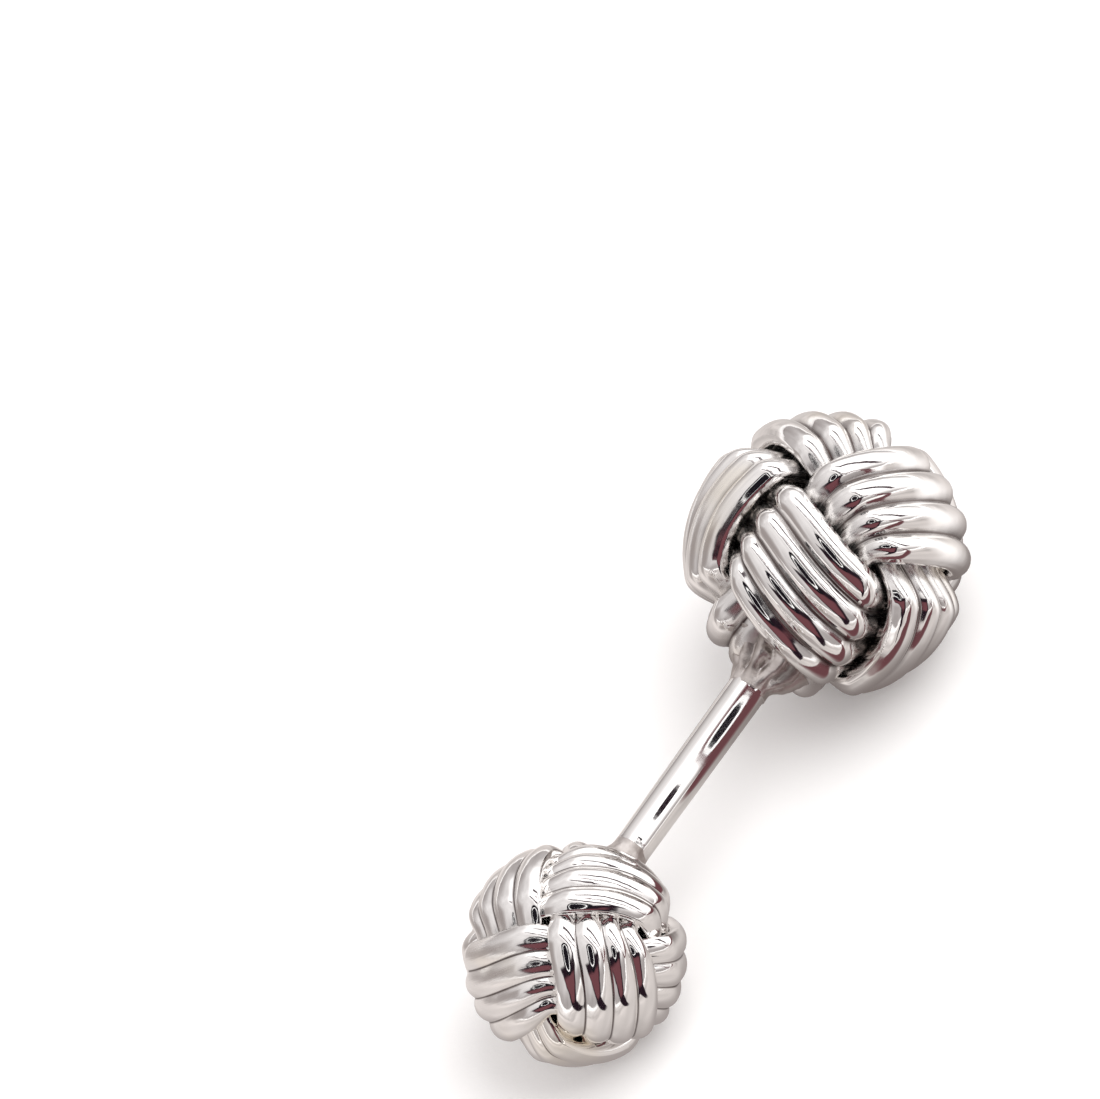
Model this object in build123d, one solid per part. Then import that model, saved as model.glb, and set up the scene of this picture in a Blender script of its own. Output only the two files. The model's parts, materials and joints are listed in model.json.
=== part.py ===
from build123d import *
import os
from math import acos, asin, atan2, cos, degrees, pi, radians, sin, sqrt

# A double-ended knot cufflink, lying on a surface.
# Each end is a ball woven from one endless strand, a Turk's head with four bights and eight crossings.
# The strand is a band of four half-round ribs side by side.
# A slim post joins the large front knot to the small back knot, and is soldered to both.

# Driving sizes, in millimetres and degrees.
front_radius = 6.0            # large knot, centre to the crests of its ribs
back_radius = 4.64            # small knot, centre to the crests of its ribs
knot_spacing = 20.57          # from one knot's centre to the other's, measured along the post
front_offset = 0.6            # how far the large knot's centre sits off the post's line
back_offset = -0.6            # how far the small knot's centre sits off it, to the other side
offset_bearing = -32.0        # direction of both offsets around the post, from level

# The strand's path over the ball.
strand_reach = 60.0           # main swing of its latitude, either side of the equator
strand_square = -2.5          # makes its turn round each pole squarer
strand_sway = 2.1             # shifts its crossings along the equator
rib_angle = 15.0              # width of one rib, seen from the ball's centre
turn_squeeze = 0.2            # how much closer the ribs lie on the inner side of each turn
pole_squeeze = 0.08           # and on its outer side, next to the pole
front_rib_roundness = 0.54    # radius of a rib's back, as a share of the rib's width
back_rib_roundness = 0.8      # the small knot's ribs are polished flatter
strip_straightness = 0.9      # lean of the free strip between two neighbours, which bend, as a share of theirs

front_band_thickness = 1.0    # large knot's band, crest to underside
back_band_thickness = 0.78
front_weave_gap = 0.15        # space between the bands where one passes under the other
back_weave_gap = 0.12

# How the link lies, and how each knot is turned on the post: where its upper pole points, and its spin.
lying_roll = -1.77            # turn about the post that sets the large knot down on two of its crests
front_pole_bearing = -153.5
front_pole_height = 84.0
front_spin = 137.2
back_pole_bearing = -155.7
back_pole_height = -78.0
back_spin = 131.7

# The post and the solder that joins it to the knots.
post_front_diameter = 1.7     # at the large knot, and it tapers to the small one
post_back_diameter = 1.55
front_solder_diameter = 3.2   # where the solder cone meets the large knot
back_solder_diameter = 2.4
front_solder_height = 0.75    # how far the cone stands out of the knot
back_solder_height = 0.45
seat_gap = 0.03               # between a solder cone and the crests that it sits on

ribs_per_band = 4
cycles = 4                    # the strand swings north and south this often before it closes
azimuth_per_turn = 0.75       # share of a full circle that it goes round in one swing
facets_per_rib = 4
facets_under = 4

# Places of the sections along a quarter swing, as shares of it.
# They are close together at both ends, where the strand climbs over or dives under its neighbour.
polar_to_equator = [0.0, 0.055, 0.11, 0.18, 0.29, 0.44, 0.6, 0.73, 0.84, 0.9, 0.95]

half_band = rib_angle * ribs_per_band / 2


def on_ball(azimuth, latitude):
    return Vector(cos(latitude) * cos(azimuth), cos(latitude) * sin(azimuth), sin(latitude))


def strand_point(turn):
    """Unit vector to the strand's middle line; turn is in radians, 2 pi for each swing."""
    azimuth = azimuth_per_turn * turn + radians(strand_sway) * sin(2 * turn)
    latitude = radians(strand_reach) * cos(turn) + radians(strand_square) * cos(3 * turn)
    return on_ball(azimuth, latitude)


def strand_frame(turn):
    """Outward, forward and leftward directions of the strand."""
    step = 1e-5
    out = strand_point(turn)
    ahead = strand_point(turn + step) - strand_point(turn - step)
    forward = (ahead - out * ahead.dot(out)).normalized()
    return out, forward, out.cross(forward)


def angle_between(first, second):
    return degrees(acos(max(-1.0, min(1.0, first.dot(second)))))


# The strand passes over its neighbour, then under the next one.
# It changes level in four narrow gates per swing: at each pole side turn and at each equator crossing.
# Each gate lies along the free strip between the two bands that it passes between.
crossing_turn = pi / 3
polar_strip = 90 - strand_reach - strand_square - half_band * (1 - pole_squeeze)
crossing_out, crossing_forward, crossing_left = strand_frame(crossing_turn)
equator_out, equator_forward, equator_left = strand_frame(pi / 2)
crossing_heading = asin(crossing_forward.Z / cos(asin(crossing_out.Z)))
strip_lean = strip_straightness * (pi / 2 + asin(equator_forward.Z) + crossing_heading)
crossing_span = angle_between(strand_point(crossing_turn), strand_point(pi - crossing_turn))
equator_strip = crossing_span / 2 * cos(strip_lean) - half_band
polar_gate = max(polar_strip, 0.5) * 1.06
equator_gate = max(equator_strip, 0.5) * 1.06


def gate_normal(quarter):
    out, forward, left = strand_frame(quarter * pi / 2)
    lean = (0, -strip_lean, 0, strip_lean)[quarter % 4]
    return forward * cos(lean) + left * sin(lean)


gates = [gate_normal(quarter) for quarter in range(cycles * 4 + 1)]


def depth_share(turn, direction):
    """0 where the strand rides on top, 1 where it is fully under its neighbour."""
    quarter = round(turn / (pi / 2))
    half_width = equator_gate if quarter % 2 else polar_gate
    past = degrees(asin(max(-1.0, min(1.0, direction.dot(gates[quarter]))))) / half_width
    share = max(0.0, min(1.0, (past + 1) / 2))
    eased = share * share * (3 - 2 * share)
    return eased if quarter % 2 else 1 - eased


def strand_turns():
    """The turns at which the sections stand."""
    mirrored = [1 - share for share in reversed(polar_to_equator)]
    closing = mirrored[:-1]
    turns = []
    for half in range(cycles * 2):
        start = half * pi
        turns += [start + share * pi / 2 for share in polar_to_equator]
        turns += [start + pi / 2]
        turns += [start + pi / 2 + share * pi / 2 for share in closing]
    return turns


def rib_profile(rib_roundness):
    """Across the band: place in rib widths from the middle, and height below the crests in rib widths."""
    groove = sqrt(rib_roundness**2 - 0.25) - rib_roundness
    profile = []
    for rib in range(ribs_per_band):
        for facet in range(facets_per_rib):
            across = facet / facets_per_rib - 0.5
            height = sqrt(rib_roundness**2 - across**2) - rib_roundness
            profile.append((rib - (ribs_per_band - 1) / 2 + across, height))
    profile.append((ribs_per_band / 2, groove))
    return profile


def band_section(turn, radius, thickness, drop, profile):
    """The corners of the band's section at a turn, over the ribs and back along the underside."""
    out, forward, left = strand_frame(turn)
    rib_width = radians(rib_angle) * radius
    inner_side = -1 if cos(turn) > 0 else 1
    corners = []
    under = [(ribs_per_band * (0.5 - facet / facets_under), None) for facet in range(facets_under + 1)]
    for across, height in profile + under:
        angle = across * radians(rib_angle)
        squeeze = turn_squeeze if across * inner_side > 0 else pole_squeeze
        angle *= 1 - squeeze * cos(turn) ** 2
        direction = out * cos(angle) + left * sin(angle)
        crest = radius - drop * depth_share(turn, direction)
        level = crest - thickness if height is None else crest + height * rib_width
        corners.append(direction * level)
    return corners


def woven_sections(radius, thickness, weave_gap, rib_roundness):
    """The corners of every section along the endless band, about the ball's centre."""
    profile = rib_profile(rib_roundness)
    return [band_section(turn, radius, thickness, thickness + weave_gap, profile) for turn in strand_turns()]


def on_post(sections, bearing, height, spin, centre):
    """Spin a knot about its own pole, point that pole, set the knot on the post and roll the link."""
    placed = []
    for section in sections:
        spun = [corner.rotate(Axis.Z, spin) for corner in section]
        leaning = [corner.rotate(Axis.Y, 90 - height) for corner in spun]
        seated = [corner.rotate(Axis.Z, bearing) + centre for corner in leaning]
        placed.append([corner.rotate(Axis.X, lying_roll) for corner in seated])
    return placed


def closed_ring(sections):
    """The solid between the sections, the last one joined to the first, in triangles."""
    faces = []
    for index, section in enumerate(sections):
        following = sections[(index + 1) % len(sections)]
        for corner in range(len(section)):
            beside = (corner + 1) % len(section)
            near, far = section[corner], following[corner]
            near_beside, far_beside = section[beside], following[beside]
            faces.append(Face(Wire.make_polygon([near, far_beside, far])))
            faces.append(Face(Wire.make_polygon([near, near_beside, far_beside])))
    return Solid(Shell(faces))


# The post's own line is the X axis here, from the large knot to the small one.
offset_direction = Vector(0, cos(radians(offset_bearing)), sin(radians(offset_bearing)))
front_centre = offset_direction * -front_offset
back_centre = offset_direction * -back_offset + Vector(knot_spacing, 0, 0)

front_sections = woven_sections(front_radius, front_band_thickness, front_weave_gap, front_rib_roundness)
front_sections = on_post(front_sections, front_pole_bearing, front_pole_height, front_spin, front_centre)
back_sections = woven_sections(back_radius, back_band_thickness, back_weave_gap, back_rib_roundness)
back_sections = on_post(back_sections, back_pole_bearing, back_pole_height, back_spin, back_centre)


def solder_cone(seat, direction, knot_radius, knot_offset, foot, neck, height):
    """Half the profile of a solder cone: from its foot on the knot, hollow-sided, to the post."""
    seat_reach = sqrt(knot_radius**2 - (foot + abs(knot_offset)) ** 2)
    low = seat + direction * (seat_reach - 0.2 * height)
    high = seat + direction * (knot_radius + height)
    return (low, foot), (high, neck)


front_foot, front_neck = solder_cone(
    0, 1, front_radius, front_offset, front_solder_diameter / 2, post_front_diameter / 2, front_solder_height
)
back_foot, back_neck = solder_cone(
    knot_spacing, -1, back_radius, back_offset, back_solder_diameter / 2, post_back_diameter / 2, back_solder_height
)


def hollow_side(foot, neck):
    """A spline from a cone's foot that runs out along the post."""
    return Spline(foot, neck, tangents=[(0.45 * (neck[0] - foot[0]), neck[1] - foot[1]), (neck[0] - foot[0], 0)])


post_profile = [
    Line((front_foot[0], 0), front_foot),
    hollow_side(front_foot, front_neck),
    Line(front_neck, back_neck),
    hollow_side(back_foot, back_neck),
    Line(back_foot, (back_foot[0], 0)),
    Line((back_foot[0], 0), (front_foot[0], 0)),
]
post = revolve(make_face(Curve() + post_profile), axis=Axis.X)
post = post - Pos(front_centre) * Sphere(front_radius + seat_gap)
post = post - Pos(back_centre) * Sphere(back_radius + seat_gap)
post = post.solid()


# The link lies on its two knots, so the post slopes down to the small one.
def lowest_corner(sections, slope):
    """The corner that touches the surface first when the link is tipped about Y by the slope."""
    tipped = (corner.rotate(Axis.Y, slope) for section in sections for corner in section)
    return min(tipped, key=lambda corner: corner.Z)


slope = 0.0
for settling in range(4):
    front_touch = lowest_corner(front_sections, slope)
    back_touch = lowest_corner(back_sections, slope)
    slope += degrees(atan2(back_touch.Z - front_touch.Z, back_touch.X - front_touch.X))

# The origin is on the surface, under the middle of the whole link.
tipped_front = [[corner.rotate(Axis.Y, slope) for corner in section] for section in front_sections]
tipped_back = [[corner.rotate(Axis.Y, slope) for corner in section] for section in back_sections]
corners = [corner for section in tipped_front + tipped_back for corner in section]
middle_x = (min(corner.X for corner in corners) + max(corner.X for corner in corners)) / 2
middle_y = (min(corner.Y for corner in corners) + max(corner.Y for corner in corners)) / 2
to_origin = Vector(-middle_x, -middle_y, -min(corner.Z for corner in corners))

nodes = {
    "front_knot": closed_ring([[corner + to_origin for corner in section] for section in tipped_front]),
    "back_knot": closed_ring([[corner + to_origin for corner in section] for section in tipped_back]),
    "post": post.rotate(Axis.X, lying_roll).rotate(Axis.Y, slope).translate(to_origin),
}

os.makedirs("parts", exist_ok=True)
for name, solid in nodes.items():
    export_step(solid, f"parts/{name}.step")
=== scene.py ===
# %% [markdown]
# # A double-ended knot cufflink
#
# This lesson dresses a small piece of jewellery in Blender: two woven balls of polished white metal,
# joined by a slim post. The shape at true size comes first, as a frame that is never moved.
# Every length below is in metres, unless it is multiplied by MM where it is written.

# %% Load the frame
import json
import math

import bpy
import numpy as np
from mathutils import Matrix, Vector, noise


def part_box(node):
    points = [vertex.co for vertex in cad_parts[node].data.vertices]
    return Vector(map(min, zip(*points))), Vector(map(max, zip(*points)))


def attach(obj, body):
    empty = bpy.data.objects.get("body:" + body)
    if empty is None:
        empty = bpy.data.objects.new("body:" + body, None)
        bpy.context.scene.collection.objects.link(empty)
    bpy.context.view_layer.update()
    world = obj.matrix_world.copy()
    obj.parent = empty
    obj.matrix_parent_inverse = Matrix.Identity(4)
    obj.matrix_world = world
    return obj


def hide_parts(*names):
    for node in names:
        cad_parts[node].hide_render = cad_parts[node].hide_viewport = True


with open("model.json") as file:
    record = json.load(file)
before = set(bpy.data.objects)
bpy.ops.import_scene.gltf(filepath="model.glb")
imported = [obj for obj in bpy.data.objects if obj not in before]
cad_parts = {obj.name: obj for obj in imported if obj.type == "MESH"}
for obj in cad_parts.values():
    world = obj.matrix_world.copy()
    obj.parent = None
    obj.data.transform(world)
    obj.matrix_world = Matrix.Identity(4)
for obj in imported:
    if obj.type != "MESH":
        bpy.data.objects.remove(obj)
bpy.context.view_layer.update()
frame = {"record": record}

MM = 0.001

# %% [markdown]
# The camera comes early, because it says how fine the work has to be. The link lies on a table and
# is seen from above its small knot, with the picture rolled a little. A long lens keeps both knots
# at nearly the same scale.

# %% Camera
PHOTO_WIDTH = 1100
PHOTO_HEIGHT = 1099
PIXELS_PER_MM = 24.3
CAMERA_DISTANCE = 0.40
NEAREST_SEEN = 0.01
SENSOR = 0.036
FRONT_CENTRE_PIXEL = (829.1, 556.2)
BACK_CENTRE_PIXEL = (574.1, 949.5)
PICTURE_RIGHT = (-0.5649, 0.7824, -0.2623)
TOWARDS_LENS = (0.3639, 0.5215, 0.7718)
camera_right = Vector(PICTURE_RIGHT).normalized()
camera_back = Vector(TOWARDS_LENS)
camera_back = (camera_back - camera_right * camera_back.dot(camera_right)).normalized()
camera_up = camera_back.cross(camera_right)


def box_middle(node):
    low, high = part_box(node)
    return (Vector(low) + Vector(high)) / 2


knots_middle = (box_middle("front_knot") + box_middle("back_knot")) / 2
pair_pixel_x = (FRONT_CENTRE_PIXEL[0] + BACK_CENTRE_PIXEL[0]) / 2
pair_pixel_y = (FRONT_CENTRE_PIXEL[1] + BACK_CENTRE_PIXEL[1]) / 2
right_of_middle = (pair_pixel_x - PHOTO_WIDTH / 2) / PIXELS_PER_MM * MM
below_middle = (pair_pixel_y - PHOTO_HEIGHT / 2) / PIXELS_PER_MM * MM
aim = knots_middle - camera_right * right_of_middle + camera_up * below_middle

camera_data = bpy.data.cameras.new("camera")
camera_data.sensor_width = SENSOR / MM
camera_data.lens = SENSOR / MM * CAMERA_DISTANCE / (PHOTO_WIDTH / PIXELS_PER_MM * MM)
camera_data.clip_start = NEAREST_SEEN
camera = bpy.data.objects.new("camera", camera_data)
turn = Matrix((camera_right, camera_up, camera_back)).transposed().to_4x4()
camera.matrix_world = Matrix.Translation(aim + camera_back * CAMERA_DISTANCE) @ turn
bpy.context.scene.collection.objects.link(camera)
bpy.context.scene.camera = camera
seen_from = math.degrees(math.asin(camera_back.z))
print("lens", round(camera_data.lens, 1), "mm, seen from", round(seen_from), "degrees up")

# %% [markdown]
# Shader maths reads best as ordinary expressions, so one small class wraps a socket and gives it
# the usual operators. Every other node comes from its `node` method, which takes the node's type,
# its settings and what its sockets get. The named methods below it are the ones used most.

# %% Shader sockets as values


class Value:
    """An output socket of a shader node, which adds and multiplies like a number."""

    def __init__(self, tree, socket=None):
        self.tree = tree
        self.socket = socket

    def node(self, kind, settings=None, sockets=None, output=0):
        """A new node, as the value of one of its outputs."""
        made = self.tree.nodes.new(kind)
        for name, setting in (settings or {}).items():
            setattr(made, name, setting)
        for name, given in (sockets or {}).items():
            if isinstance(given, Value):
                self.tree.links.new(given.socket, made.inputs[name])
            else:
                made.inputs[name].default_value = given
        return Value(self.tree, made.outputs[output])

    def maths(self, operation, other, swap=False):
        first, second = (other, self) if swap else (self, other)
        return self.node("ShaderNodeMath", {"operation": operation}, {0: first, 1: second})

    def __add__(self, other):
        return self.maths("ADD", other)

    def __radd__(self, other):
        return self.maths("ADD", other)

    def __sub__(self, other):
        return self.maths("SUBTRACT", other)

    def __rsub__(self, other):
        return self.maths("SUBTRACT", other, swap=True)

    def __mul__(self, other):
        return self.maths("MULTIPLY", other)

    def __rmul__(self, other):
        return self.maths("MULTIPLY", other)

    def ease(self, low, high):
        """0 below low, 1 above high and smooth between them."""
        settings = {"interpolation_type": "SMOOTHSTEP"}
        sockets = {"Value": self, "From Min": low, "From Max": high}
        return self.node("ShaderNodeMapRange", settings, sockets)

    def stretch(self, scale):
        """This place, with each of its coordinates scaled."""
        settings = {"operation": "MULTIPLY"}
        return self.node("ShaderNodeVectorMath", settings, {0: self, 1: scale})

    def part(self, index):
        """One coordinate of this place."""
        return self.node("ShaderNodeSeparateXYZ", None, {0: self}, output=index)

    def carried(self, name):
        """What the mesh carries under this name."""
        return self.node("ShaderNodeAttribute", {"attribute_name": name}, output=2)

    def place(self):
        """The place on the object, in metres."""
        return self.node("ShaderNodeTexCoord", output=3)

    def grain(self, scale, detail):
        """Noise between 0 and 1 at this place."""
        return self.node("ShaderNodeTexNoise", None, {"Vector": self, "Scale": scale, "Detail": detail})

    def between(self, first, second):
        """A colour that goes from the first to the second as this goes from 0 to 1."""
        settings = {"data_type": "RGBA"}
        return self.node("ShaderNodeMix", settings, {"Factor": self, 6: first, 7: second}, output=2)


def material(name, **constants):
    """A new material, its shader, and a value to start expressions from."""
    made = bpy.data.materials.new(name)
    made.use_nodes = True
    shader = made.node_tree.nodes["Principled BSDF"]
    for socket, constant in constants.items():
        shader.inputs[socket.replace("_", " ")].default_value = constant
    return made, shader, Value(made.node_tree)


def feed(shader, **values):
    """Links values to a shader's sockets."""
    for socket, given in values.items():
        shader.id_data.links.new(given.socket, shader.inputs[socket.replace("_", " ")])


def bumped(height, depth):
    sockets = {"Height": height, "Distance": depth, "Strength": 1.0}
    return height.node("ShaderNodeBump", None, sockets)


print("values can", ", ".join(name for name in vars(Value) if not name.startswith("__")))


# %% [markdown]
# Polished white metal is nearly all reflection, so its colour hardly varies. What tells the eye that
# it is real is the finish. The backs of the wires shine, and the grooves keep dark tarnish, darkened
# further with painted shade. Where a band dives under the next, the metal is rougher and its colour
# is darkened as painted shade. One patch is brushed, faint stains drift over the rest, and a slow
# waviness bends every reflection a little. The mesh carries four measures for this, "groove", "sunk",
# "satin" and "soldered", and a map in millimetres along the strand.

# %% Knot metal
SILVER = (0.93, 0.915, 0.90, 1)
# The dark colour serves both for real tarnish and for painted shade.
TARNISH_AND_SHADE_COLOUR = (0.10, 0.072, 0.066, 1)
STRAW = (0.90, 0.82, 0.66, 1)

# Scales of noise: how many of its bends go to a metre.
WAVES, RIPPLES = 420.0, 1300.0
CLOUDS, STAINS, PITS = 900.0, 240.0, 5200.0

# The noise of fine marks is drawn out along the strand: bends to a millimetre along and across it.
STREAKS = (1.2, 24.0, 1.0)
BRUSH_MARKS = (0.25, 9.0, 1.0)

# How much tarnish and painted shade each kind of place takes, and how rough it is.
DIRT_AND_SHADE_DARKENING, DIVE_PAINTED_SHADE, SOLDERED_TARNISH = 0.95, 0.16, 0.12
POLISHED_ROUGHNESS, STREAK_ROUGHNESS = 0.05, 0.05
DIRT_ROUGHNESS, SOLDERED_ROUGHNESS = 0.25, 0.22
SATIN_ROUGHNESS, SATIN_MARKS = 0.06, 0.26
DIVE_ROUGHNESS, DIVE_MARKS = 0.08, 0.22

# Heights of the unevenness, in shares of its depth.
KNOT_DEPTH = 0.03 * MM
WAVE_HEIGHT, RIPPLE_HEIGHT, STREAK_HEIGHT, SATIN_HEIGHT = 2.6, 0.5, 0.02, 0.35
SOLDERED_PIT_HEIGHT, DIRT_PIT_HEIGHT = 0.5, 0.03


def knot_metal():
    made, shader, start = material("knot_metal", Metallic=1.0)
    place = start.place()
    strand = start.node("ShaderNodeUVMap", {"uv_map": "strand"})
    groove, soldered = start.carried("groove"), start.carried("soldered")
    satin, sunk = start.carried("satin"), start.carried("sunk")
    clouds = place.grain(CLOUDS, 2.0)
    streaks = strand.stretch(STREAKS).grain(1.0, 4.0)
    brushing = strand.stretch(BRUSH_MARKS).grain(1.0, 3.0)
    pits = place.grain(PITS, 2.0)
    # Tarnish in the grooves, with painted shade: the grooves are darkened further where shade falls in
    # them.
    groove_dirt_and_shade = (groove + clouds * 0.3 - 0.15).ease(0.35, 1.0)
    # Painted shade where a band dives under the next; the same mask also makes the metal rougher there.
    sunk_shade_and_dullness = (sunk + clouds * 0.2 - 0.1).ease(0.1, 0.5)
    # All darkening towards the dark colour: real tarnish, and painted shade in the grooves and the
    # dives.
    tarnish_and_shade = groove_dirt_and_shade * DIRT_AND_SHADE_DARKENING + soldered * SOLDERED_TARNISH + sunk_shade_and_dullness * DIVE_PAINTED_SHADE
    stain = place.grain(STAINS, 2.0).ease(0.55, 0.8) * 0.5
    colour = tarnish_and_shade.between(stain.between(SILVER, STRAW), TARNISH_AND_SHADE_COLOUR)
    roughness = POLISHED_ROUGHNESS + streaks.ease(0.45, 0.8) * STREAK_ROUGHNESS
    roughness = roughness + groove_dirt_and_shade * DIRT_ROUGHNESS + soldered * SOLDERED_ROUGHNESS
    roughness = roughness + satin * (SATIN_ROUGHNESS + brushing * SATIN_MARKS)
    roughness = roughness + sunk_shade_and_dullness * (DIVE_ROUGHNESS + brushing * DIVE_MARKS)
    height = place.grain(WAVES, 1.0) * WAVE_HEIGHT + place.grain(RIPPLES, 1.0) * RIPPLE_HEIGHT
    height = height + streaks * STREAK_HEIGHT
    height = height + pits * (soldered * SOLDERED_PIT_HEIGHT + groove_dirt_and_shade * DIRT_PIT_HEIGHT)
    height = height + brushing * (satin * SATIN_HEIGHT)
    feed(shader, Base_Color=colour, Roughness=roughness, Normal=bumped(height, KNOT_DEPTH))
    return made


# %% [markdown]
# The post is polished like a mirror, so that it shows the room as one long streak. Only next to the
# solder is it pitted and a little tarnished. A smudge or two is all that it has elsewhere.

# %% Post metal
SMUDGES, POST_PITS = 700.0, 3000.0
SMUDGE_TARNISH, POST_END_TARNISH = 0.12, 0.4
MIRROR_ROUGHNESS, SMUDGE_ROUGHNESS, POST_END_ROUGHNESS = 0.03, 0.04, 0.2
POST_DEPTH = 0.012 * MM
POST_PIT_HEIGHT, SMUDGE_HEIGHT = 4.0, 0.12


def post_metal():
    made, shader, start = material("post_metal", Metallic=1.0)
    place = start.place()
    clouds = place.grain(SMUDGES, 3.0)
    soldered = start.carried("soldered")
    smudge = clouds.ease(0.5, 0.8)
    colour = (smudge * SMUDGE_TARNISH + soldered * POST_END_TARNISH).between(SILVER, TARNISH_AND_SHADE_COLOUR)
    roughness = MIRROR_ROUGHNESS + smudge * SMUDGE_ROUGHNESS + soldered * POST_END_ROUGHNESS
    height = place.grain(POST_PITS, 2.0) * (soldered * POST_PIT_HEIGHT) + clouds * SMUDGE_HEIGHT
    feed(shader, Base_Color=colour, Roughness=roughness, Normal=bumped(height, POST_DEPTH))
    return made


# %% [markdown]
# Solder is never polished in its corner. It is duller and greyer than the wire, in soft clouds, with
# pits that the bump makes.

# %% Solder
SOLDER_CLOUDS, SOLDER_PITS = 1100.0, 4200.0
SOLDER_LIGHT = (0.70, 0.655, 0.63, 1)
SOLDER_DARK = (0.40, 0.355, 0.33, 1)
SOLDER_ROUGHNESS, SOLDER_CLOUD_ROUGHNESS = 0.24, 0.25
SOLDER_DEPTH = 0.07 * MM
SOLDER_PIT_HEIGHT = 0.25


def solder_metal():
    made, shader, start = material("solder", Metallic=1.0)
    place = start.place()
    clouds = place.grain(SOLDER_CLOUDS, 4.0)
    pits = place.grain(SOLDER_PITS, 3.0)
    colour = clouds.ease(0.3, 0.75).between(SOLDER_LIGHT, SOLDER_DARK)
    roughness = SOLDER_ROUGHNESS + clouds * SOLDER_CLOUD_ROUGHNESS
    height = pits * SOLDER_PIT_HEIGHT + clouds
    feed(shader, Base_Color=colour, Roughness=roughness, Normal=bumped(height, SOLDER_DEPTH))
    return made


KNOT_METAL = knot_metal()
POST_METAL = post_metal()
SOLDER = solder_metal()
print("metals", KNOT_METAL.name, POST_METAL.name, SOLDER.name)

# %% [markdown]
# The strand of each knot is a Turk's head: it swings north and south four times while it goes three
# times round the ball. It could be drawn as a curve and bevelled, but a formula of one number, the
# turn, gives the same path for both knots, and every section of the strand can be worked out from it.

# %% The strand's path
STRAND_REACH = math.radians(60.0)
STRAND_SQUARE = math.radians(-2.5)
STRAND_SWAY = math.radians(2.1)
AZIMUTH_PER_TURN = 0.75
CYCLES = 4
RIB_ANGLE = math.radians(15.0)
RIBS = 4
TURN_SQUEEZE = 0.2
SMALL_STEP = 1e-5


def unit(vectors):
    return vectors / np.linalg.norm(vectors, axis=-1, keepdims=True)


def strand_point(turns):
    """Unit vectors to the strand's middle line; a turn of 2 pi is one swing."""
    azimuth = AZIMUTH_PER_TURN * turns + STRAND_SWAY * np.sin(2 * turns)
    latitude = STRAND_REACH * np.cos(turns) + STRAND_SQUARE * np.cos(3 * turns)
    flat = np.cos(latitude)
    return np.stack([flat * np.cos(azimuth), flat * np.sin(azimuth), np.sin(latitude)], -1)


def strand_frame(turns):
    """Outward, forward and leftward directions of the strand."""
    out = strand_point(turns)
    ahead = strand_point(turns + SMALL_STEP) - strand_point(turns - SMALL_STEP)
    forward = unit(ahead - out * np.sum(ahead * out, -1, keepdims=True))
    return out, forward, np.cross(out, forward)


poleward = math.degrees(STRAND_REACH + STRAND_SQUARE)
print("the strand swings", CYCLES, "times, to", round(poleward, 1), "degrees from the equator")

# %% [markdown]
# The strand goes over one neighbour and under the next. It changes level in the free strip between
# two bands, the gate. The gates here are a little wider than those strips, so that the wires dip
# gently, like finger tips. Deep in the ball, where nobody sees it, the bands may touch.

# %% Over and under
STRIP_STRAIGHTNESS = 0.9
crossing_out, crossing_forward, _ = strand_frame(np.array([math.pi / 3]))
_, equator_forward, _ = strand_frame(np.array([math.pi / 2]))
crossing_heading = math.asin(crossing_forward[0, 2] / math.sqrt(1 - crossing_out[0, 2] ** 2))
STRIP_LEAN = STRIP_STRAIGHTNESS * (math.pi / 2 + math.asin(equator_forward[0, 2]) + crossing_heading)


def gate_normals():
    """The direction across the gate at each quarter of a swing."""
    quarters = np.arange(CYCLES * 4 + 1)
    _, forward, left = strand_frame(quarters * math.pi / 2)
    lean = np.array([0, -STRIP_LEAN, 0, STRIP_LEAN])[quarters % 4][:, None]
    return forward * np.cos(lean) + left * np.sin(lean)


GATES = gate_normals()


def depth_share(turns, directions, polar_gate, equator_gate):
    """0 on top, 1 fully under; turns has one value per section, directions one row per corner."""
    quarter = np.rint(turns / (math.pi / 2)).astype(int)
    at_equator = (quarter % 2)[:, None] == 1
    half_width = np.where(at_equator, equator_gate, polar_gate)
    across_gate = np.einsum("scx,sx->sc", directions, GATES[quarter])
    past = np.degrees(np.arcsin(np.clip(across_gate, -1, 1)))
    share = np.clip((past / half_width + 1) / 2, 0, 1)
    eased = share * share * (3 - 2 * share)
    return np.where(at_equator, eased, 1 - eased)


print("gates", len(GATES) - 1, "of them, which lean", round(math.degrees(STRIP_LEAN), 1), "degrees")

# %% [markdown]
# The band is four wires side by side. Its section is drawn once and carried along the path.
# The wires of the large knot are nearly half round, with a fine bead of metal left in each groove;
# those of the small knot are polished flatter.

# %% The band's section
SECTIONS = 1100
RIB_STEPS = 14
UNDER_STEPS = 8
# The groove measure sets groove tarnish and painted shade: how much fades under a neighbour, what the
# underside gets, and how fast it rises from the band's edges.
UNDER_GROOVE_FADE = 0.3
UNDERSIDE_DIRT_AND_SHADE = 0.35
EDGE_DIRT_AND_SHADE_RISE = 4


def rib_height(across, roundness, bead_radius, bead_top):
    """Height below the crest, in rib widths, at a place across one rib, -0.5 to 0.5."""
    back = np.sqrt(np.maximum(roundness**2 - across**2, 0)) - roundness
    beside = 0.5 - np.abs(across)
    bead = bead_top - bead_radius + np.sqrt(np.maximum(bead_radius**2 - beside**2, 0))
    return np.where(beside < bead_radius, np.maximum(back, bead), back)


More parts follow.
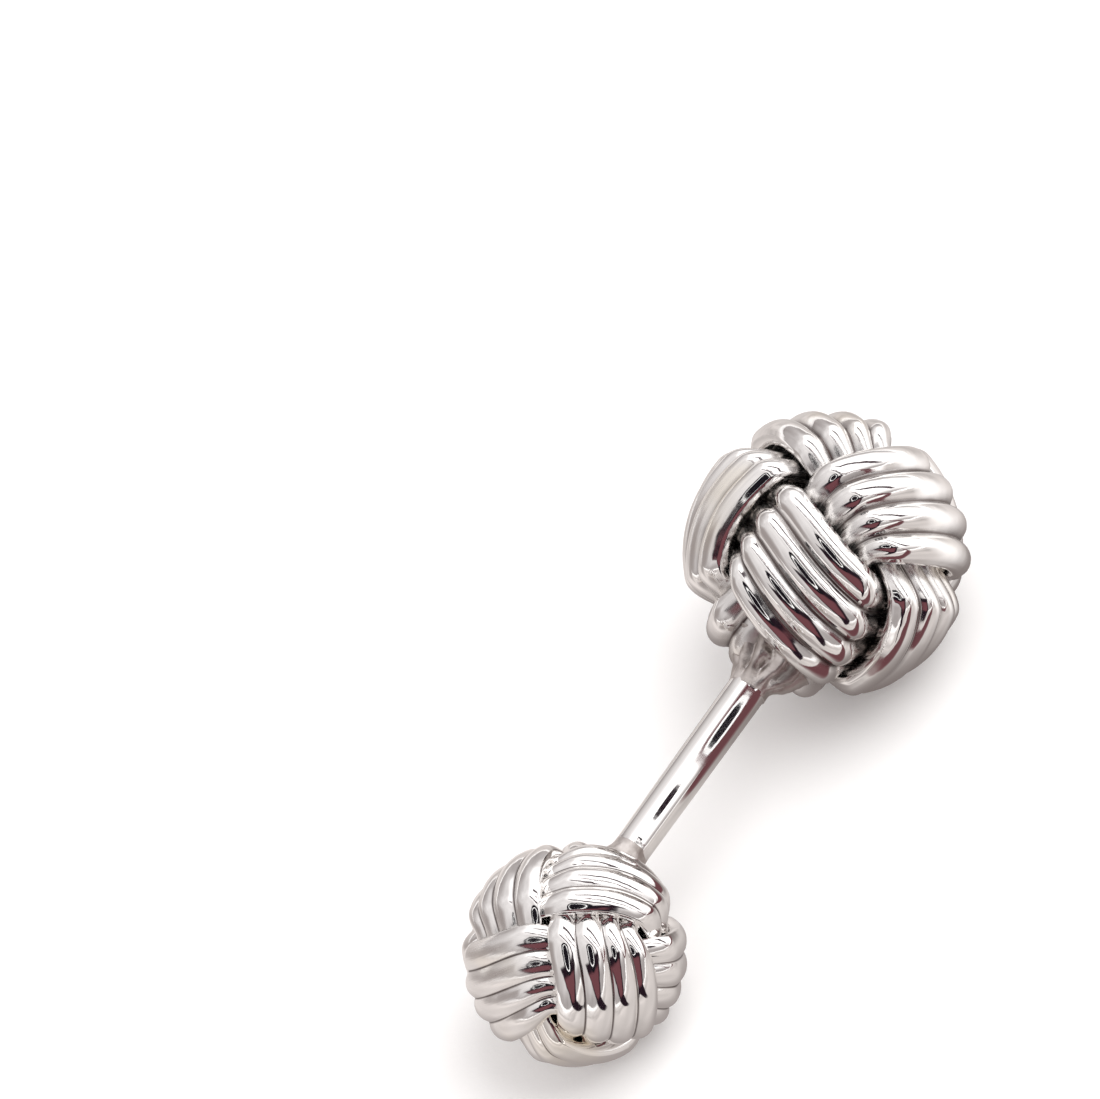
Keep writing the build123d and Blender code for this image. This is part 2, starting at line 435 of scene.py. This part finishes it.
def band_profile(roundness, bead_radius, bead_top, groove_sharpness):
    """Places across the band, the height of its top there, and how far they lie down a groove."""
    steps = np.linspace(-0.5, 0.5, RIB_STEPS, endpoint=False)
    across = np.concatenate([rib - (RIBS - 1) / 2 + steps for rib in range(RIBS)] + [[RIBS / 2]])
    within = np.concatenate([steps] * RIBS + [[0.5]])
    beside_groove = np.clip((RIBS / 2 - np.abs(across)) * EDGE_DIRT_AND_SHADE_RISE, UNDERSIDE_DIRT_AND_SHADE, 1)
    groove = (np.abs(within) * 2) ** groove_sharpness * beside_groove
    return across, rib_height(within, roundness, bead_radius, bead_top), groove


def woven_band(radius, thickness, weave_gap, profile, pole_squeeze, gates):
    """The endless band's corners, section by section.

    With them come how far each lies down a groove and under a neighbour, and the places across."""
    turns = np.linspace(0, CYCLES * 2 * math.pi, SECTIONS, endpoint=False)
    out, forward, left = strand_frame(turns)
    across, height, groove = profile
    under = np.linspace(RIBS / 2, -RIBS / 2, UNDER_STEPS + 1)
    both = np.concatenate([across, under])
    rib_width = RIB_ANGLE * radius
    inner = np.where(np.cos(turns) > 0, -1, 1)[:, None]
    squeeze = np.where(both[None, :] * inner > 0, TURN_SQUEEZE, pole_squeeze)
    angle = both[None, :] * RIB_ANGLE * (1 - squeeze * np.cos(turns)[:, None] ** 2)
    directions = out[:, None] * np.cos(angle)[..., None] + left[:, None] * np.sin(angle)[..., None]
    depth = depth_share(turns, directions, *gates)
    drop = thickness + weave_gap
    level = np.concatenate([height * rib_width, np.full(len(under), -thickness)])
    corners = directions * (radius - drop * depth + level[None, :])[..., None]
    # The groove measure darkens the metal: groove tarnish with painted shade, and painted shade on the
    # underside.
    down = np.concatenate([groove, np.full(len(under), UNDERSIDE_DIRT_AND_SHADE)])[None, :]
    return corners, down * (1 - UNDER_GROOVE_FADE * depth), depth, both * rib_width


def ring_faces(rings, corners, closed=True):
    """Four-sided faces over a row of rings; closed joins the last ring to the first."""
    first_rings = np.arange(rings if closed else rings - 1)
    ring, corner = np.meshgrid(first_rings, np.arange(corners), indexing="ij")
    following, beside = (ring + 1) % rings, (corner + 1) % corners
    faces = [ring * corners + corner, ring * corners + beside]
    faces += [following * corners + beside, following * corners + corner]
    return np.stack(faces, -1).reshape(-1, 4)


def strand_map(mesh, rings, widths, step):
    """UV coordinates in millimetres along and across the strand."""
    ring, corner = np.meshgrid(np.arange(rings), np.arange(len(widths)), indexing="ij")
    beside = (corner + 1) % len(widths)
    along = np.stack([ring, ring, ring + 1, ring + 1], -1) * step / MM
    across = np.stack([widths[corner], widths[beside], widths[beside], widths[corner]], -1) / MM
    layer = mesh.uv_layers.new(name="strand")
    layer.uv.foreach_set("vector", np.stack([along, across], -1).ravel())


def measure(mesh, name, values):
    """Gives the mesh a value at each corner, for its material to read."""
    attribute = mesh.attributes.new(name, "FLOAT", "POINT")
    attribute.data.foreach_set("value", np.asarray(values, dtype=float).ravel())


def mesh_piece(name, points, faces, metal):
    mesh = bpy.data.meshes.new(name)
    mesh.from_pydata(points.tolist(), [], [list(face) for face in faces])
    mesh.shade_smooth()
    mesh.materials.append(metal)
    piece = bpy.data.objects.new(name, mesh)
    bpy.context.scene.collection.objects.link(piece)
    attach(piece, "root")
    return piece


print("a band has", RIBS * RIB_STEPS + 1, "places across its top in each of", SECTIONS, "sections")

# %% [markdown]
# The post's own line is the X axis while things are made, with the large knot at its start. The whole
# link then tips down to its small end, by the slope that the record's mount gives, and rolls a little.

# %% How the link lies
FRONT_RADIUS = 6.0 * MM
BACK_RADIUS = 4.64 * MM
KNOT_SPACING = 20.57 * MM
LYING_ROLL = math.radians(-1.77)
post_mount = next(mount for mount in frame["record"]["mounts"] if mount["name"] == "cuff_seat")
slope = math.asin(-post_mount["axis"][2])
lying = Matrix.Rotation(slope, 3, "Y") @ Matrix.Rotation(LYING_ROLL, 3, "X")
middle_along = (FRONT_RADIUS + KNOT_SPACING - BACK_RADIUS) / 2
post_start = Vector(post_mount["pos_m"]) - lying @ Vector((middle_along, 0, 0))


def laid(points):
    """From the post's own frame to the table."""
    return points @ np.array(lying).T + np.array(post_start)


def attitude(bearing, height, spin):
    """The turn of a knot whose pole points that way, lying with the link on the table."""
    turn_z = Matrix.Rotation(math.radians(bearing), 3, "Z")
    lean = Matrix.Rotation(math.radians(90 - height), 3, "Y")
    about_pole = Matrix.Rotation(math.radians(spin), 3, "Z")
    return lying @ turn_z @ lean @ about_pole


print("the post slopes by", round(math.degrees(slope), 2), "degrees")

# %% [markdown]
# One function weaves both knots. They differ in size, in how round their wires are, in how their
# bands dip, and in how each is turned. Each knot is moved so that its middle is that of its solid in
# the frame. Where the satin patch lies is given as the camera sees it, right and up of the middle.

# %% The two knots
FRONT_SEAM = post_start + lying @ Vector((FRONT_RADIUS, 0, 0))
BACK_SEAM = post_start + lying @ Vector((KNOT_SPACING - BACK_RADIUS, 0, 0))
SEAM_SPREAD = 1.7 * MM
NEARNESS_REACH = 1.6


def nearness(points, spot, spread):
    """1 close to a spot, and 0 beyond the reach times the spread."""
    distance = np.linalg.norm(points - np.array(spot), axis=-1)
    return np.clip(NEARNESS_REACH - distance / spread, 0, 1)


def satin_spot(node, radius, right, up):
    """The place on a knot that is seen so far right and up of its middle, in radii."""
    nearer = math.sqrt(1 - right**2 - up**2)
    direction = camera_right * right + camera_up * up + camera_back * nearer
    return box_middle(node) + direction * radius


def knot(node, radius, thickness, weave_gap, profile, pole_squeeze, gates, turned, seam,
         satin_at, satin_size, dive_shade_and_dullness):
    corners, groove, depth, widths = woven_band(
        radius, thickness, weave_gap, profile, pole_squeeze, gates)
    rings = len(corners)
    points = corners.reshape(-1, 3) @ np.array(turned).T
    middle = (points.min(0) + points.max(0)) / 2
    points = points - middle + np.array(box_middle(node))
    faces = ring_faces(rings, len(widths))
    piece = mesh_piece(node + "_weave", points, faces, KNOT_METAL)
    step = np.linalg.norm(corners[1:, 0] - corners[:-1, 0], axis=-1).mean()
    strand_map(piece.data, rings, widths, step)
    measure(piece.data, "groove", groove)
    measure(piece.data, "sunk", depth * dive_shade_and_dullness)
    # How far a band lies under its neighbour, scaled: it sets painted shade and roughness in the dives.
    measure(piece.data, "soldered", nearness(points, seam, SEAM_SPREAD))
    satin = nearness(points, satin_spot(node, radius, *satin_at), satin_size)
    measure(piece.data, "satin", satin)
    piece.data.flip_normals()
    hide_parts(node)
    print(piece.name, len(piece.data.polygons), "faces")


knot("front_knot", FRONT_RADIUS, thickness=1.0 * MM, weave_gap=0.15 * MM,
     profile=band_profile(roundness=0.54, bead_radius=0.07, bead_top=-0.26, groove_sharpness=3.0),
     pole_squeeze=0.08, gates=(10.8, 10.2), turned=attitude(-153.5, 84.0, 137.2),
     seam=FRONT_SEAM, satin_at=(-0.85, 0.38), satin_size=1.7 * MM, dive_shade_and_dullness=1.0)
knot("back_knot", BACK_RADIUS, thickness=0.78 * MM, weave_gap=-0.08 * MM,
     profile=band_profile(roundness=0.8, bead_radius=0.03, bead_top=-0.165, groove_sharpness=8.0),
     pole_squeeze=0.0, gates=(15.0, 12.0), turned=attitude(-155.7, -78.0, 131.7),
     seam=BACK_SEAM, satin_at=(-0.78, -0.1), satin_size=1.95 * MM, dive_shade_and_dullness=0.25)

# %% [markdown]
# The post is turned, so it is a lathe shape. The solder at its ends has run and set in lumps and
# tongues, which a plain cone never looks like. So its radius is stirred with noise, and the large
# knot's cone has tongues around it that fade towards the post.

# %% Post and solder
AROUND = 96
SHAFT_RINGS = 160
SOLDER_RINGS = 60
POST_FRONT_RADIUS = 0.85 * MM
POST_BACK_RADIUS = 0.775 * MM
FRONT_END = FRONT_RADIUS
BACK_END = KNOT_SPACING - BACK_RADIUS
FRONT_PITTED, BACK_PITTED = 0.8 * MM, 0.7 * MM
SKIN = 0.01 * MM

CONE_HOLLOW = 1.7
COARSE_LUMPS, FINE_LUMPS = 1.3 / MM, 3.4 / MM
FINE_SHARE = 0.2
LUMPS_AT_NECK = 0.25
TONGUES = 9
TONGUE_WANDER = 0.9
TONGUE_MIDDLE = 0.6
TONGUE_RISE = 2.2

angles_around = np.linspace(0, 2 * math.pi, AROUND, endpoint=False)


def lathe(along, radii):
    """Points on rings about the X axis; radii has a row per ring and a value per point on it."""
    sideways, upwards = radii * np.cos(angles_around), radii * np.sin(angles_around)
    return np.stack([np.repeat(along[:, None], AROUND, 1), sideways, upwards], -1)


def lathe_piece(name, along, radii, metal):
    """A lathe shape in the frame's post; its rings go from the large knot to the small one."""
    grid = lathe(along, radii)
    last = (len(along) - 1) * AROUND
    faces = ring_faces(len(along), AROUND, closed=False).tolist()
    faces += [list(range(AROUND))[::-1], list(range(last, last + AROUND))]
    piece = mesh_piece(name, laid(grid.reshape(-1, 3)), faces, metal)
    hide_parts("post")
    return piece


def stirred(along, size, scale, seed):
    """Smooth random lumps over a lathe's rings."""
    grid = lathe(along, np.full((len(along), AROUND), size))
    shift = Vector((seed, seed, seed))
    return np.array([[noise.noise(Vector(point) * scale + shift) for point in ring] for ring in grid])


shaft_along = np.linspace(FRONT_END - 0.5 * MM, BACK_END + 0.4 * MM, SHAFT_RINGS)
taper = (shaft_along - shaft_along[0]) / (shaft_along[-1] - shaft_along[0])
shaft_radius = POST_FRONT_RADIUS + (POST_BACK_RADIUS - POST_FRONT_RADIUS) * taper
shaft_radii = np.repeat(shaft_radius[:, None], AROUND, 1)
shaft = lathe_piece("post_shaft", shaft_along, shaft_radii, POST_METAL)
shaft_points = np.array([vertex.co for vertex in shaft.data.vertices])
near_front = nearness(shaft_points, FRONT_SEAM, FRONT_PITTED)
near_back = nearness(shaft_points, BACK_SEAM, BACK_PITTED)
measure(shaft.data, "soldered", np.maximum(near_front, near_back))


def solder(name, foot_at, neck_at, foot, neck, lump, tongue, seed):
    """A hollow-sided cone from its foot, inside a knot, to its neck on the post."""
    along = np.linspace(foot_at, neck_at, SOLDER_RINGS)
    share = np.linspace(1, 0, SOLDER_RINGS)[:, None]
    lumps = stirred(along, (foot + neck) / 2, COARSE_LUMPS, seed)
    lumps = lumps + FINE_SHARE * stirred(along, neck, FINE_LUMPS, seed)
    tongues = np.abs(np.cos(angles_around * TONGUES / 2 + TONGUE_WANDER * lumps)) - TONGUE_MIDDLE
    radii = neck + (foot - neck) * share**CONE_HOLLOW + lump * lumps * (LUMPS_AT_NECK + share)
    radii = radii + tongue * tongues * np.clip(share * TONGUE_RISE, 0, 1) ** 2
    if foot_at > neck_at:
        along, radii = along[::-1], radii[::-1]
    piece = lathe_piece(name, along, radii, SOLDER)
    print(name, len(piece.data.polygons), "faces")


solder("front_solder", FRONT_END - 1.0 * MM, FRONT_END + 0.95 * MM, foot=1.75 * MM,
       neck=POST_FRONT_RADIUS + SKIN, lump=0.30 * MM, tongue=0.42 * MM, seed=3.0)
solder("back_solder", BACK_END + 0.8 * MM, BACK_END - 0.5 * MM, foot=1.3 * MM,
       neck=POST_BACK_RADIUS + SKIN, lump=0.12 * MM, tongue=0.0, seed=7.0)
print("post", len(shaft.data.polygons), "faces")

# %% [markdown]
# Metal shows the room around it, so the room is half of its looks. This one is made of patches of a
# dome, each placed by how far it is from the lens and on which side of it, as on a clock with 12 at
# the picture's top. Only reflections see the patches. A patch that would reach below the table lies
# down on it instead. Its rim can fade away, so that a reflection ends softly.

# %% Room
DOME = 0.36
TABLE_GAP = 0.4 * MM
GAP_FOR_NEARNESS = 0.01
CLOUD_SCALE = 45.0
STRIP_ROWS, STRIP_COLUMNS = 40, 24
RING_ROWS, RING_COLUMNS = 6, 73
MAT_ROWS = 9
CARD_ROWS, CARD_COLUMNS = 15, 40


def glowing(name, colour, strength=1.0, edge=None, cloudiness=0.0):
    """Plain light; edge says how far in from the patch's rim it fades away, 0 to 1."""
    made = bpy.data.materials.new(name)
    made.use_nodes = True
    tree = made.node_tree
    tree.nodes.clear()
    start = Value(tree)
    shown = (*colour, 1)
    if cloudiness:
        clouds = start.place().grain(CLOUD_SCALE, 2.0)
        darkest, lightest = [[part * (1 + way * cloudiness) for part in colour] for way in (-1, 1)]
        shown = clouds.between((*darkest, 1), (*lightest, 1))
    light = start.node("ShaderNodeEmission", None, {"Color": shown, "Strength": strength})
    if edge is not None:
        at = start.node("ShaderNodeUVMap", {"uv_map": "patch"})
        along, across = at.part(0), at.part(1)
        inside = (along * (1 - along) * 4).ease(0.0, edge) * (across * (1 - across) * 4).ease(0.0, edge)
        clear = start.node("ShaderNodeBsdfTransparent")
        light = start.node("ShaderNodeMixShader", None, {0: inside, 1: clear, 2: light})
    output = tree.nodes.new("ShaderNodeOutputMaterial")
    tree.links.new(light.socket, output.inputs["Surface"])
    return made


def patch(name, points, rows, light):
    """A curved card through a grid of points that only reflections see."""
    columns = len(points) // rows
    faces = []
    for row in range(rows - 1):
        for column in range(columns - 1):
            start = row * columns + column
            faces.append((start, start + 1, start + columns + 1, start + columns))
    mesh = bpy.data.meshes.new(name)
    mesh.from_pydata(points, [], faces)
    mesh.materials.append(light)
    layer = mesh.uv_layers.new(name="patch")
    for loop in mesh.loops:
        row, column = divmod(loop.vertex_index, columns)
        layer.uv[loop.index].vector = (row / (rows - 1), column / (columns - 1))
    card = bpy.data.objects.new(name, mesh)
    bpy.context.scene.collection.objects.link(card)
    card.visible_camera = False
    card.visible_diffuse = False
    card.visible_shadow = False


def towards(clock, along, across):
    """Direction at an angle from the lens along one side, and at an angle across that."""
    side = camera_up * math.cos(clock) + camera_right * math.sin(clock)
    beside = camera_right * math.cos(clock) - camera_up * math.sin(clock)
    ahead = camera_back * math.cos(along) + side * math.sin(along)
    return ahead * math.cos(across) + beside * math.sin(across)


def above_table(start, direction, distance):
    """The point that far off, or where the way there meets the table.

    Nearer patches lie higher on it, so that no two are at the same height."""
    gap = TABLE_GAP + (DOME - distance) * GAP_FOR_NEARNESS
    if direction.z < 0:
        distance = min(distance, (start.z - gap) / -direction.z)
    return start + direction * distance


def strip(name, clock, along, across, nearness_share, light, taper=0.0):
    """A patch that runs from the lens towards one side of the clock, in degrees, narrower at its end."""
    rows = np.radians(np.linspace(*along, STRIP_ROWS))
    columns = np.radians(np.linspace(*across, STRIP_COLUMNS))
    points = []
    for row, narrowing in zip(rows, np.linspace(1, 1 - taper, STRIP_ROWS)):
        for column in columns:
            direction = towards(math.radians(clock), row, column * narrowing)
            points.append(above_table(knots_middle, direction, DOME * nearness_share))
    patch(name, points, STRIP_ROWS, light)


def ring(name, angles, nearness_share, light):
    """A patch all round the lens, from one angle off it to another."""
    rows = np.radians(np.linspace(*angles, RING_ROWS))
    clocks = np.linspace(0, 2 * math.pi, RING_COLUMNS)
    distance = DOME * nearness_share
    points = [knots_middle + towards(clock, row, 0) * distance for row in rows for clock in clocks]
    patch(name, points, RING_ROWS, light)


def mat(name, middle, half, height, light):
    """A flat square on the table."""
    steps = np.linspace(-half, half, MAT_ROWS)
    points = [Vector((middle.x + x, middle.y + y, height)) for x in steps for y in steps]
    patch(name, points, MAT_ROWS, light)


def over_post(name, along, around, distance, light):
    """A rounded card that shows in the side of the post, seen from the camera.

    along is measured on the post from the large knot, around is in degrees from the camera's side."""
    axis = lying @ Vector((1, 0, 0))
    lean = camera_back.dot(axis)
    facing = (camera_back - axis * lean).normalized()
    sideways = axis.cross(facing)
    spread = math.sqrt(1 - lean**2)
    points = []
    for row in np.linspace(-1, 1, CARD_ROWS):
        for share in np.linspace(-1, 1, CARD_COLUMNS):
            column = math.radians((around[0] + around[1]) / 2 + (around[1] - around[0]) / 2 * share)
            length = (along[1] - along[0]) / 2 * row * math.sqrt(max(1 - share**4, 0))
            at = (along[0] + along[1]) / 2 + length
            seen = (facing * math.cos(column) + sideways * math.sin(column)) * spread - axis * lean
            points.append(above_table(post_start + axis * at, seen, distance))
    patch(name, points, CARD_ROWS, light)


print("dome", DOME / MM, "mm from the knots' middle")

# %% [markdown]
# The room has one large soft light at the upper right. Below the lens is the dark side, where the
# picture is taken from, with a rose-coloured cloth in it and a ring light round the lens. Two thin
# bars cross the soft light, so that each wire shows fine lines. Mats darken the table's reflection
# near the knots, where their own shade lies. Four small cards are there for the post alone, which is
# too straight to show the same things as the knots.

# %% Lights and dark places
DOWN_CLOCK = 163
LAMP_CLOCK = 38
LEFT_CLOCK = 262
WHITE_LIGHT = glowing("soft_light", (1.0, 0.985, 0.985), strength=1.55, edge=0.7)
RING_LIGHT = glowing("ring_light", (1.0, 0.99, 0.99), strength=1.25)
DARK = glowing("dark_side", (0.018, 0.009, 0.015), edge=0.25)
BLACK = glowing("lens_black", (0.010, 0.008, 0.012))
ROSE = glowing("rose_cloth", (0.17, 0.062, 0.072), edge=0.6)
SHADE = glowing("shade", (0.20, 0.17, 0.163), edge=1.0)
DEEP_ROSE = glowing("deep_rose", (0.15, 0.06, 0.067), edge=0.5)
LIGHT_SHADE = glowing("light_shade", (0.36, 0.32, 0.31), edge=1.0)
BAR_SHADE = glowing("bar_shade", (0.10, 0.075, 0.085), edge=0.35)
TABLE_TONE = glowing("table_tone", (0.70, 0.65, 0.63), edge=0.9, cloudiness=0.7)

ring("ring_light", (12.0, 14.0), 0.90, RING_LIGHT)
ring("lens", (0.0, 12.0), 0.91, BLACK)
ring("lens_surround", (14.0, 20.0), 0.92, BLACK)
strip("dark_side", DOWN_CLOCK, (4, 66), (-50, 50), 0.94, DARK, taper=1.0)
strip("rose_cloth", DOWN_CLOCK, (16, 52), (-36, 43), 0.93, ROSE, taper=0.9)
strip("soft_light", LAMP_CLOCK, (16, 118), (-62, 46), 1.0, WHITE_LIGHT)
strip("near_bar", LAMP_CLOCK, (27, 33), (-50, 38), 0.96, BAR_SHADE)
strip("far_bar", LAMP_CLOCK, (62, 70), (-40, 34), 0.96, BAR_SHADE)
strip("left_shade", LEFT_CLOCK, (55, 125), (-24, 24), 0.97, LIGHT_SHADE)
mat("table_tone", knots_middle, 120 * MM, 0.1 * MM, TABLE_TONE)
mat("front_shade", box_middle("front_knot"), 12 * MM, 0.2 * MM, SHADE)
mat("back_shade", box_middle("back_knot"), 8 * MM, 0.3 * MM, LIGHT_SHADE)
over_post("post_rose", (6.0 * MM, 13.8 * MM), (-98, 34), 85 * MM, DEEP_ROSE)
over_post("post_ring", (8.8 * MM, 12.7 * MM), (-46, 14), 83 * MM, RING_LIGHT)
over_post("post_dark", (9.3 * MM, 12.2 * MM), (-35, 4), 81 * MM, BLACK)
over_post("post_streak", (14.6 * MM, 17.0 * MM), (-16, 16), 81 * MM, DARK)

# %% [markdown]
# The table is plain pale paper. Two lamps keep it bright and lay a soft shadow under the knots.
# They only light, and don't show in the metal. A cloudy grey room fills what the patches leave open.

# %% Table and lamps
TABLE_HALF = 1.5
PAPER_LIGHT = (0.92, 0.918, 0.912, 1)
PAPER_DARK = (0.885, 0.88, 0.873, 1)
PAPER_CLOUDS, PAPER_FIBRES = 60.0, 2500.0
PAPER_ROUGHNESS, FIBRE_ROUGHNESS = 0.55, 0.1
PAPER_DEPTH = 0.01 * MM
ROOM_DARK = (0.34, 0.305, 0.30, 1)
ROOM_LIGHT = (0.95, 0.92, 0.92, 1)
ROOM_CLOUDS = 2.2


def paper():
    made, shader, start = material("paper", Metallic=0.0)
    place = start.place()
    clouds = place.grain(PAPER_CLOUDS, 3.0)
    fibres = place.grain(PAPER_FIBRES, 2.0)
    colour = clouds.between(PAPER_LIGHT, PAPER_DARK)
    roughness = PAPER_ROUGHNESS + fibres * FIBRE_ROUGHNESS
    feed(shader, Base_Color=colour, Roughness=roughness, Normal=bumped(fibres, PAPER_DEPTH))
    return made


def lamp(name, clock, along, distance, size, power):
    data = bpy.data.lights.new(name, "AREA")
    data.shape = "DISK"
    data.size = size
    data.energy = power
    made = bpy.data.objects.new(name, data)
    direction = towards(math.radians(clock), math.radians(along), 0)
    made.location = knots_middle + direction * distance
    made.rotation_euler = direction.to_track_quat("Z", "Y").to_euler()
    made.visible_glossy = False
    bpy.context.scene.collection.objects.link(made)


def surround():
    """A grey room, lighter overhead and cloudy."""
    made = bpy.data.worlds.new("surround")
    made.use_nodes = True
    background = made.node_tree.nodes["Background"]
    way = Value(made.node_tree).node("ShaderNodeTexCoord")
    lightness = way.part(2).ease(-0.1, 0.95) * 0.7 + way.grain(ROOM_CLOUDS, 2.0) * 0.8 - 0.25
    feed(background, Color=lightness.between(ROOM_DARK, ROOM_LIGHT))
    return made


table_mesh = bpy.data.meshes.new("table")
table_corners = [(-TABLE_HALF, -TABLE_HALF, 0), (TABLE_HALF, -TABLE_HALF, 0),
                 (TABLE_HALF, TABLE_HALF, 0), (-TABLE_HALF, TABLE_HALF, 0)]
table_mesh.from_pydata(table_corners, [], [(0, 1, 2, 3)])
table_mesh.materials.append(paper())
table = bpy.data.objects.new("table", table_mesh)
bpy.context.scene.collection.objects.link(table)

lamp("key", clock=20, along=45, distance=0.5, size=0.5, power=1.9)
lamp("fill", clock=250, along=50, distance=0.6, size=0.6, power=1.6)
bpy.context.scene.world = surround()
bpy.context.scene.view_settings.view_transform = "Standard"
print("table", 2 * TABLE_HALF, "m wide, two lamps, world", bpy.context.scene.world.name)

# %% [markdown]
# The dressed link must fill the same box as the solids of the frame, because other people's parts
# are fitted to those.
